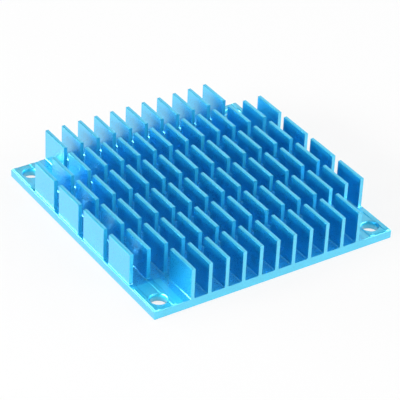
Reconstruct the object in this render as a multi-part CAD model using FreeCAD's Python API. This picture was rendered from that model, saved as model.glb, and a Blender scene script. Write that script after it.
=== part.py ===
import FreeCAD, Part
import math
import os

# Millimetres. X runs across the fins, Y runs along them, +Z is up.
# The origin is the middle of the underside.

# Plate
plate_width = 60.0
plate_length = 61.0
plate_thickness = 2.0
plate_edge_bevel = 0.1

# Fins, extruded in one with the plate
fin_count = 15
fin_thickness = 0.85
fin_height = 7.5
fin_tip_bevel = 0.1
foot_radius = 0.3

# Strip of bare plate outside the outermost fins, where the foot is tighter
ledge_flat = 0.05
ledge_foot_radius = 0.2

# Cuts sawn across the fins
row_count = 6
cut_width = 2.15
cut_above_floor = 0.05
cut_corner_bevel = 0.15

# Corners milled clear of fins, which leaves a low trace of each and a broken edge at the plate's end
cleared_columns = 2
cleared_above_floor = 0.15
end_edge_bevel = 0.15

# Holes through the cleared corners
hole_radius = 1.8
hole_inset_from_side = 3.15
hole_inset_from_end = 3.5
rim_bevel_above = 0.25
rim_bevel_below = 0.15

# How far each cutting body runs out past the metal
overshoot = 1.0

half_width = plate_width / 2
half_length = plate_length / 2
overall_height = plate_thickness + fin_height
side_ledge = plate_edge_bevel + ledge_flat + ledge_foot_radius
fin_pitch = (plate_width - 2 * side_ledge - fin_thickness) / (fin_count - 1)
channel_width = fin_pitch - fin_thickness
row_length = (plate_length - (row_count - 1) * cut_width) / row_count


def softened_outline(corners):
    """Closed wire through square (point, setback, rounded) corners, each cut back by an arc or a bevel."""
    bends = []
    for index, (point, setback, rounded) in enumerate(corners):
        toward_last = (corners[index - 1][0] - point).normalize()
        toward_next = (corners[(index + 1) % len(corners)][0] - point).normalize()
        start = point + toward_last * setback
        end = point + toward_next * setback
        if rounded:
            inward = (toward_last + toward_next).normalize()
            crown = point + inward * setback * (math.sqrt(2) - 1)
            bend = Part.Arc(start, crown, end).toShape()
        else:
            bend = Part.makeLine(start, end)
        bends.append((start, bend, end))
    edges = []
    for index, (start, bend, end) in enumerate(bends):
        edges += [bend, Part.makeLine(end, bends[(index + 1) % len(bends)][0])]
    return Part.Wire(edges)


def comb_section():
    """Section of the extrusion: the plate with all its fins standing on it, as one outline."""
    def corner(x, z, setback, rounded=False):
        return FreeCAD.Vector(x, -half_length, z), setback, rounded

    corners = [
        corner(-half_width, plate_thickness, plate_edge_bevel),
        corner(-half_width, 0, plate_edge_bevel),
        corner(half_width, 0, plate_edge_bevel),
        corner(half_width, plate_thickness, plate_edge_bevel),
    ]
    last = fin_count - 1
    for column in reversed(range(fin_count)):
        left = -half_width + side_ledge + column * fin_pitch
        right = left + fin_thickness
        left_foot = ledge_foot_radius if column == 0 else foot_radius
        right_foot = ledge_foot_radius if column == last else foot_radius
        corners += [
            corner(right, plate_thickness, right_foot, rounded=True),
            corner(right, overall_height, fin_tip_bevel),
            corner(left, overall_height, fin_tip_bevel),
            corner(left, plate_thickness, left_foot, rounded=True),
        ]
    return Part.Face(softened_outline(corners))


def cross_cut(row):
    """Body of the saw cut behind a row; the blade's worn corners leave a bevel at the fins' feet."""
    front = -half_length + row_length + row * (row_length + cut_width)
    back = front + cut_width
    bottom = plate_thickness + cut_above_floor
    top = overall_height + overshoot
    side = -half_width - overshoot
    outline = [
        (front, top),
        (front, bottom + cut_corner_bevel),
        (front + cut_corner_bevel, bottom),
        (back - cut_corner_bevel, bottom),
        (back, bottom + cut_corner_bevel),
        (back, top),
        (front, top),
    ]
    face = Part.Face(Part.makePolygon([FreeCAD.Vector(side, y, z) for y, z in outline]))
    return face.extrude(FreeCAD.Vector(plate_width + 2 * overshoot, 0, 0))


def cleared_corner(side_x, side_y):
    """Bodies milled away at a corner, up to the middle of the next channel and of the next cut."""
    reach_x = side_ledge + cleared_columns * fin_pitch - channel_width / 2
    reach_y = row_length + cut_width / 2
    inner = FreeCAD.Vector(side_x * (half_width - reach_x), side_y * (half_length - reach_y), 0)
    outer = FreeCAD.Vector(side_x * (half_width + overshoot), side_y * (half_length + overshoot), 0)
    bottom = plate_thickness + cleared_above_floor
    low = FreeCAD.Vector(min(inner.x, outer.x), min(inner.y, outer.y), bottom)
    high = FreeCAD.Vector(max(inner.x, outer.x), max(inner.y, outer.y), overall_height + overshoot)
    size = high - low

    # Slope of the broken edge, from below the plate's end edge up over the floor and the traces
    edge = plate_thickness - end_edge_bevel
    back = cleared_above_floor + end_edge_bevel
    slope = [(outer.y, edge - overshoot), (side_y * (half_length - back), bottom), (outer.y, bottom)]
    corners = [FreeCAD.Vector(low.x, y, z) for y, z in slope]
    wedge = Part.Face(Part.makePolygon(corners + corners[:1])).extrude(FreeCAD.Vector(size.x, 0, 0))
    return [Part.makeBox(size.x, size.y, size.z, low), wedge]


def hole_bodies(side_x, side_y):
    """Drill and the bevels of both rims; the upper bevel runs on out through the fin traces."""
    x = side_x * (half_width - hole_inset_from_side)
    y = side_y * (half_length - hole_inset_from_end)
    upper_rise = rim_bevel_above + cleared_above_floor
    drill = Part.makeCylinder(hole_radius, plate_thickness + 2 * overshoot, FreeCAD.Vector(x, y, -overshoot))
    upper = Part.makeCone(hole_radius, hole_radius + upper_rise, upper_rise,
                          FreeCAD.Vector(x, y, plate_thickness - rim_bevel_above))
    lower = Part.makeCone(hole_radius + rim_bevel_below, hole_radius, rim_bevel_below,
                          FreeCAD.Vector(x, y, 0))
    return [drill, upper, lower]


def heat_sink():
    extrusion = comb_section().extrude(FreeCAD.Vector(0, plate_length, 0))
    cuts = [cross_cut(row) for row in range(row_count - 1)]
    for side_x in (-1, 1):
        for side_y in (-1, 1):
            cuts += cleared_corner(side_x, side_y)
            cuts += hole_bodies(side_x, side_y)
    return extrusion.cut(cuts)


shape = heat_sink()
if len(shape.Solids) != 1 or not shape.isValid():
    raise RuntimeError("the heat sink is not one sound solid")
os.makedirs("parts", exist_ok=True)
shape.Solids[0].exportStep("parts/heat_sink.step")
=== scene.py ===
import math

import bpy
from mathutils import Euler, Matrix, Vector


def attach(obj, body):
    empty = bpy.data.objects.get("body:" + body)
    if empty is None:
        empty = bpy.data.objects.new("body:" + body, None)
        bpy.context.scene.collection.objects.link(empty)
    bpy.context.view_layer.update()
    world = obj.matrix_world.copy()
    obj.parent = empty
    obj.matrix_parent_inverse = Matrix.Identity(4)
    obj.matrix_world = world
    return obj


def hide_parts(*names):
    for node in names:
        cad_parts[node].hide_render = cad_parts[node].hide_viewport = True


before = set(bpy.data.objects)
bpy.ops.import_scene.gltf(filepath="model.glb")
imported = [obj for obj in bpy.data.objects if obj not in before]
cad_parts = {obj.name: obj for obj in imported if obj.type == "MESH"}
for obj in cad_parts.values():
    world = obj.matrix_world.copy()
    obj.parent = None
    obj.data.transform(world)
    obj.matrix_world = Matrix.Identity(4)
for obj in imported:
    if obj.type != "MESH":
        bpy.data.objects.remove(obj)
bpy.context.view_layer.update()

mm = 0.001
white = (1.0, 1.0, 1.0, 1.0)


# small helpers for node trees
def addNode(tree, kind, inputs=None, **settings):
    node = tree.nodes.new(kind)
    for name, value in settings.items():
        setattr(node, name, value)
    for name, value in (inputs or {}).items():
        if isinstance(value, bpy.types.NodeSocket):
            tree.links.new(value, node.inputs[name])
        else:
            node.inputs[name].default_value = value
    return node


def calc(tree, operation, first, second=0.0):
    return addNode(tree, "ShaderNodeMath", {0: first, 1: second}, operation=operation).outputs[0]


def reckon(tree, operation, first, second=(0.0, 0.0, 0.0), output="Vector"):
    return addNode(tree, "ShaderNodeVectorMath", {0: first, 1: second}, operation=operation).outputs[output]


# 1 where a ray shows a surface, straight or by way of metal or glass, 0 where it only lights another
def lookedAt(tree):
    light = addNode(tree, "ShaderNodeLightPath").outputs
    direct = calc(tree, "MAXIMUM", light["Is Camera Ray"], light["Is Glossy Ray"])
    return calc(tree, "MAXIMUM", direct, light["Is Transmission Ray"])


def emptyMaterial(name):
    material = bpy.data.materials.new(name)
    material.use_nodes = True
    material.node_tree.nodes.clear()
    return material, material.node_tree


# anodised finish
anodisedFinish = {
    "cloudShade": 0.95,                     # where the dye took a little stronger
    "grainShade": 0.90,                     # in the pits of the etched grain
    "sealCoat": 1.0,                        # the clear, sealed outside of the film
    "sealIor": 1.80,
    "sealRoughness": 0.25,
    "roughnessSpread": 0.05,
    "shadeBetween": (0.35, 0.65),           # noise values over which the colour changes
    "spreadBetween": (0.3, 0.7),            # and those over which the roughness does
    "cloudSize": 6.0 * mm,
    "grainSize": 0.28 * mm,
    "grainHeight": 0.0012 * mm,
    "grainDetail": 2.0,
    "markStretch": 70,                      # how much longer than wide a tool's marks are
    "markDetail": 3.0,
    "markRoughness": 0.6,
}

# each surface: the film's colour, set lighter or greener than on the drawn faces on the tops, sawn ends,
# milled floors and hole wall as painted light, its metal share (the rest scatters), its roughness and the
# tool's marks
drawnFaces = {
    "colour": (0.003, 0.53, 0.90), "metal": 0.85, "roughness": 0.30,
    "size": 0.16 * mm, "height": 0.0016 * mm,
}
# fin tops: colour lighter than the drawn faces, painted light from above; own metal share, roughness and
# marks
finTopsWithPaintedLight = {
    "colour": (0.006, 0.60, 0.94), "metal": 0.80, "roughness": 0.36,
    "size": 0.16 * mm, "height": 0.0016 * mm,
}
# sawn ends: colour lighter than the drawn faces, painted light on the ends; own metal share, roughness and
# marks
sawnFaces = {
    "colour": (0.045, 0.67, 0.97), "metal": 0.55, "roughness": 0.40,
    "size": 0.30 * mm, "height": 0.0030 * mm,
}
# milled corner floors: colour lighter than the drawn faces, painted light on the floors; own metal share,
# roughness and marks
milledFaces = {
    "colour": (0.020, 0.64, 0.94), "metal": 0.75, "roughness": 0.44,
    "size": 0.34 * mm, "height": 0.0060 * mm,
}
# drilled wall: colour greener than the drawn faces, painted light on the hole's wall; own metal share,
# roughness and marks
drilledWalls = {
    "colour": (0.010, 0.60, 0.84), "metal": 0.60, "roughness": 0.50,
    "size": 0.25 * mm, "height": 0.0100 * mm,
}

# where the fin tops begin and where each tool worked, measured from the middle of the underside toward any
# corner
toolReach = {
    "topsFrom": 9.3 * mm,
    "squareFrom": 0.7,                      # how squarely a sawn face looks along Y, a milled one along Z
    "uprightBelow": 0.5,                    # how little a drilled wall looks along Z
    "cornerFrom": (22.96 * mm, 21.05 * mm),
    "cornerBelow": 2.3 * mm,
    "hole": (26.85 * mm, 27.0 * mm, 0.0),
    "holeReach": 2.0 * mm,
}


def anodisedMaterial(settings, reach):
    material, tree = emptyMaterial("anodisedBlue")
    place = addNode(tree, "ShaderNodeTexCoord")
    facing = addNode(tree, "ShaderNodeSeparateXYZ", {0: place.outputs["Normal"]})
    folded = reckon(tree, "ABSOLUTE", place.outputs["Object"])
    spot = addNode(tree, "ShaderNodeSeparateXYZ", {0: folded})

    # which tool left the surface as it is, and where the fin tops are, whose colour is painted lighter
    square = reach["squareFrom"]
    sawn = calc(tree, "GREATER_THAN", calc(tree, "ABSOLUTE", facing.outputs["Y"]), square)
    inCorner = calc(tree, "MULTIPLY", calc(tree, "GREATER_THAN", spot.outputs["X"], reach["cornerFrom"][0]),
                    calc(tree, "GREATER_THAN", spot.outputs["Y"], reach["cornerFrom"][1]))
    low = calc(tree, "LESS_THAN", spot.outputs["Z"], reach["cornerBelow"])
    facingUp = calc(tree, "GREATER_THAN", facing.outputs["Z"], square)
    milled = calc(tree, "MULTIPLY", inCorner, calc(tree, "MULTIPLY", low, facingUp))
    # the fin tops, whose colour is painted lighter for the light from above they catch
    atFinTops = calc(tree, "GREATER_THAN", spot.outputs["Z"], reach["topsFrom"])
    overPlan = reckon(tree, "MULTIPLY", folded, (1.0, 1.0, 0.0))
    fromAxis = reckon(tree, "DISTANCE", overPlan, reach["hole"], output="Value")
    upright = calc(tree, "LESS_THAN", calc(tree, "ABSOLUTE", facing.outputs["Z"]), reach["uprightBelow"])
    drilled = calc(tree, "MULTIPLY", calc(tree, "LESS_THAN", fromAxis, reach["holeReach"]), upright)

    topsAndTooled = ((atFinTops, finTopsWithPaintedLight), (sawn, sawnFaces), (milled, milledFaces), (drilled, drilledWalls))

    def bySurface(name, unit=1.0):
        value = drawnFaces[name] / unit
        for mask, surface in topsAndTooled:
            value = addNode(tree, "ShaderNodeMix", {0: mask, 2: value, 3: surface[name] / unit}).outputs[0]
        return value

    # long: the axes (0 is X) along which the marks run
    def streaks(size, long):
        scale = [1 / size] * 3
        for axis in long:
            scale[axis] = 1 / (settings["markStretch"] * size)
        stretched = addNode(tree, "ShaderNodeMapping", {"Vector": place.outputs["Object"], "Scale": scale})
        return addNode(tree, "ShaderNodeTexNoise", {
            "Vector": stretched.outputs[0], "Scale": 1.0, "Detail": settings["markDetail"],
            "Roughness": settings["markRoughness"]}).outputs[0]

    def speckle(size):
        return addNode(tree, "ShaderNodeTexNoise", {
            "Vector": place.outputs["Object"], "Scale": 1 / size,
            "Detail": settings["grainDetail"]}).outputs[0]

    marks = streaks(drawnFaces["size"], long=[1])
    for mask, surface, long in (
            (sawn, sawnFaces, [0]), (milled, milledFaces, [0]), (drilled, drilledWalls, [0, 1])):
        toolMarks = streaks(surface["size"], long)
        marks = addNode(tree, "ShaderNodeMix", {0: mask, 2: marks, 3: toolMarks}).outputs[0]
    grain = speckle(settings["grainSize"])
    clouds = speckle(settings["cloudSize"])
    markRelief = calc(tree, "MULTIPLY", marks, bySurface("height", mm))
    grainRelief = calc(tree, "MULTIPLY", grain, settings["grainHeight"] / mm)
    relief = calc(tree, "ADD", markRelief, grainRelief)
    bump = addNode(tree, "ShaderNodeBump", {"Strength": 1.0, "Distance": mm, "Height": relief})

    # the film's colour, painted lighter on the tops, sawn ends, milled floors and hole wall for the light
    # they catch
    colour = (*drawnFaces["colour"], 1.0)
    for mask, surface in topsAndTooled:
        colour = addNode(tree, "ShaderNodeMix", {
            "Factor": mask, "A": colour, "B": (*surface["colour"], 1.0)}, data_type="RGBA").outputs["Result"]
    darkest, lightest = settings["shadeBetween"]
    for pattern, shade in ((clouds, settings["cloudShade"]), (grain, settings["grainShade"])):
        tone = addNode(tree, "ShaderNodeMapRange", {
            "Value": pattern, "From Min": darkest, "From Max": lightest, "To Min": shade, "To Max": 1.0})
        colour = addNode(tree, "ShaderNodeMix", {
            "Factor": 1.0, "A": colour, "B": tone.outputs[0]},
            data_type="RGBA", blend_type="MULTIPLY").outputs["Result"]
    spread = settings["roughnessSpread"]
    smoothest, roughest = settings["spreadBetween"]
    uneven = addNode(tree, "ShaderNodeMapRange", {
        "Value": grain, "From Min": smoothest, "From Max": roughest, "To Min": -spread, "To Max": spread})
    roughness = calc(tree, "ADD", bySurface("roughness"), uneven.outputs[0])
    film = addNode(tree, "ShaderNodeBsdfPrincipled", {
        "Base Color": colour, "Metallic": bySurface("metal"), "Roughness": roughness,
        "Normal": bump.outputs[0], "Coat Weight": settings["sealCoat"], "Coat IOR": settings["sealIor"],
        "Coat Roughness": settings["sealRoughness"], "Coat Normal": bump.outputs[0]})
    addNode(tree, "ShaderNodeOutputMaterial", {"Surface": film.outputs[0]})
    return material


# heat sink
sinkBuild = {
    "mergeDistance": 0.0005 * mm,
    "flatWithin": 0.5,                      # degrees
    "smoothBelow": 50.0,                    # degrees
    "edgeBevel": 0.05 * mm,                 # broken upright edges of the fins' ends
    "uprightShare": 0.99,                   # of such an edge's length, along Z
    "shortestEdge": 5.0 * mm,
}


def buildSink(settings):
    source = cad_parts["heat_sink"]
    bpy.ops.object.select_all(action="DESELECT")
    sink = bpy.data.objects.new("pinFinSink", source.data.copy())
    bpy.context.scene.collection.objects.link(sink)
    bpy.context.view_layer.objects.active = sink
    sink.select_set(True)
    bpy.ops.mesh.customdata_custom_splitnormals_clear()
    bpy.ops.object.mode_set(mode="EDIT")
    bpy.ops.mesh.select_all(action="SELECT")
    bpy.ops.mesh.remove_doubles(threshold=settings["mergeDistance"])
    bpy.ops.mesh.dissolve_limited(angle_limit=math.radians(settings["flatWithin"]))
    bpy.ops.mesh.select_all(action="DESELECT")
    bpy.ops.object.mode_set(mode="OBJECT")
    for edge in sink.data.edges:
        start, end = (sink.data.vertices[index].co for index in edge.vertices)
        run = end - start
        edge.select = abs(run.z) > max(settings["uprightShare"] * run.length, settings["shortestEdge"])
    bpy.ops.object.mode_set(mode="EDIT")
    bpy.ops.mesh.select_mode(type="EDGE")
    bpy.ops.mesh.bevel(offset=settings["edgeBevel"], segments=1, affect="EDGES", clamp_overlap=True)
    bpy.ops.object.mode_set(mode="OBJECT")
    bpy.ops.object.shade_smooth_by_angle(angle=math.radians(settings["smoothBelow"]))
    bpy.ops.object.modifier_add(type="WEIGHTED_NORMAL")
    sink.modifiers[-1].keep_sharp = True
    bpy.ops.object.modifier_apply(modifier=sink.modifiers[-1].name)
    sink.data.materials.clear()
    sink.data.materials.append(anodisedMaterial(anodisedFinish, toolReach))
    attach(sink, "root")
    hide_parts("heat_sink")
    return sink


sink = buildSink(sinkBuild)
print("heat sink:", len(sink.data.polygons), "faces")


# table under the heat sink
table = {
    "size": 6.0,                            # metres
    "below": 0.02 * mm,                     # gap under the plate
    "colour": (0.56, 0.56, 0.56, 1.0),
    "lit": 0.15,                            # share of the view that shows light and shadow, the rest is white
    "grainSize": 0.9 * mm,
    "grainHeight": 0.02 * mm,
    "grainStrength": 0.05,
    "grainDetail": 2.0,
}


def buildTable(settings):
    bpy.ops.object.select_all(action="DESELECT")
    bpy.ops.mesh.primitive_plane_add(size=settings["size"], location=(0, 0, -settings["below"]))
    floor = bpy.context.active_object
    floor.name = "table"
    material, tree = emptyMaterial("palePaper")
    place = addNode(tree, "ShaderNodeTexCoord")
    fibres = addNode(tree, "ShaderNodeTexNoise", {
        "Vector": place.outputs["Object"], "Scale": 1 / settings["grainSize"],
        "Detail": settings["grainDetail"]})
    bump = addNode(tree, "ShaderNodeBump", {
        "Strength": settings["grainStrength"], "Distance": settings["grainHeight"],
        "Height": fibres.outputs[0]})
    paper = addNode(tree, "ShaderNodeBsdfDiffuse", {"Color": settings["colour"], "Normal": bump.outputs[0]})
    clear = addNode(tree, "ShaderNodeEmission", {"Color": white, "Strength": 1.0})
    share = calc(tree, "MULTIPLY", lookedAt(tree), 1 - settings["lit"])
    surface = addNode(tree, "ShaderNodeMixShader", {0: share, 1: paper.outputs[0], 2: clear.outputs[0]})
    addNode(tree, "ShaderNodeOutputMaterial", {"Surface": surface.outputs[0]})
    floor.data.materials.append(material)


buildTable(table)
print("table laid")


# light
room = {
    "wall": 0.25,                           # strength of the room, and of the backdrop where it only lights
    "backdrop": 1.0,                        # strength of the white band at the horizon where it is looked at
    "backdropTop": 0.10,                    # sine of the height at which the band ends
}

# each lamp: its turn in degrees from -Y round to -X, its rise in degrees, width and height in metres
lamps = {
    "softboxLeft": {"turn": 90, "rise": 22, "size": (0.62, 0.21), "radiance": 20.0},
    "softboxBackLeft": {"turn": 135, "rise": 9, "size": (0.66, 0.20), "radiance": 15.0},
    "softboxAboveLeft": {"turn": 135, "rise": 52, "size": (0.44, 0.34), "radiance": 1.2},
    "softboxRight": {"turn": -43, "rise": 24, "size": (0.60, 0.30), "radiance": 5.4},
    "softboxSide": {"turn": -90, "rise": 20, "size": (0.62, 0.30), "radiance": 5.4},
    "softboxBackRight": {"turn": -135, "rise": 30, "size": (0.62, 0.40), "radiance": 0.6},
    "softboxTop": {"turn": 0, "rise": 84, "size": (0.60, 0.60), "radiance": 0.6},
    "edgeRight": {"turn": -41, "rise": 44, "size": (0.14, 0.14), "radiance": 8.0},
}
lampDistance = 0.80
wattsPerRadiance = 4.0                      # for each square metre of an area lamp


def lightRoom(settings):
    world = bpy.data.worlds.new("paleRoom")
    bpy.context.scene.world = world
    world.use_nodes = True
    tree = world.node_tree
    tree.nodes.clear()
    toward = addNode(tree, "ShaderNodeTexCoord").outputs["Generated"]
    height = addNode(tree, "ShaderNodeSeparateXYZ", {0: toward}).outputs["Z"]
    onBackdrop = calc(tree, "LESS_THAN", height, settings["backdropTop"])
    shown = calc(tree, "MULTIPLY", onBackdrop, lookedAt(tree))
    strength = addNode(tree, "ShaderNodeMix", {
        0: shown, 2: settings["wall"], 3: settings["backdrop"]}).outputs[0]
    surface = addNode(tree, "ShaderNodeBackground", {"Color": white, "Strength": strength})
    addNode(tree, "ShaderNodeOutputWorld", {"Surface": surface.outputs[0]})


def hangLamp(name, settings):
    data = bpy.data.lights.new(name, "AREA")
    data.shape = "RECTANGLE"
    data.size, data.size_y = settings["size"]
    data.energy = settings["radiance"] * data.size * data.size_y * wattsPerRadiance
    lamp = bpy.data.objects.new(name, data)
    turn, rise = math.radians(settings["turn"]), math.radians(settings["rise"])
    toward = Vector((-math.sin(turn) * math.cos(rise), -math.cos(turn) * math.cos(rise), math.sin(rise)))
    lamp.location = toward * lampDistance
    lamp.rotation_euler = (-toward).to_track_quat("-Z", "Y").to_euler()
    lamp.visible_camera = False
    bpy.context.scene.collection.objects.link(lamp)


lightRoom(room)
for name, settings in lamps.items():
    hangLamp(name, settings)
print("lit by the room and", len(lamps), "soft lamps")


# camera
cameraBuild = {
    "place": (-207.170 * mm, -305.970 * mm, 247.490 * mm),
    "turn": (0.983390, -0.040371, -0.569411),
    "lens": 182.046,                        # millimetres, as the sensor
    "sensor": 36.0,
    "nearest": 0.02,                        # metres
}


def setCamera(settings):
    data = bpy.data.cameras.new("photoCamera")
    data.sensor_width = settings["sensor"]
    data.lens = settings["lens"]
    data.clip_start = settings["nearest"]
    camera = bpy.data.objects.new("photoCamera", data)
    camera.location = settings["place"]
    camera.rotation_euler = Euler(settings["turn"], "XYZ")
    bpy.context.scene.collection.objects.link(camera)
    bpy.context.scene.camera = camera


setCamera(cameraBuild)
bpy.context.scene.view_settings.view_transform = "Standard"
print("camera set")
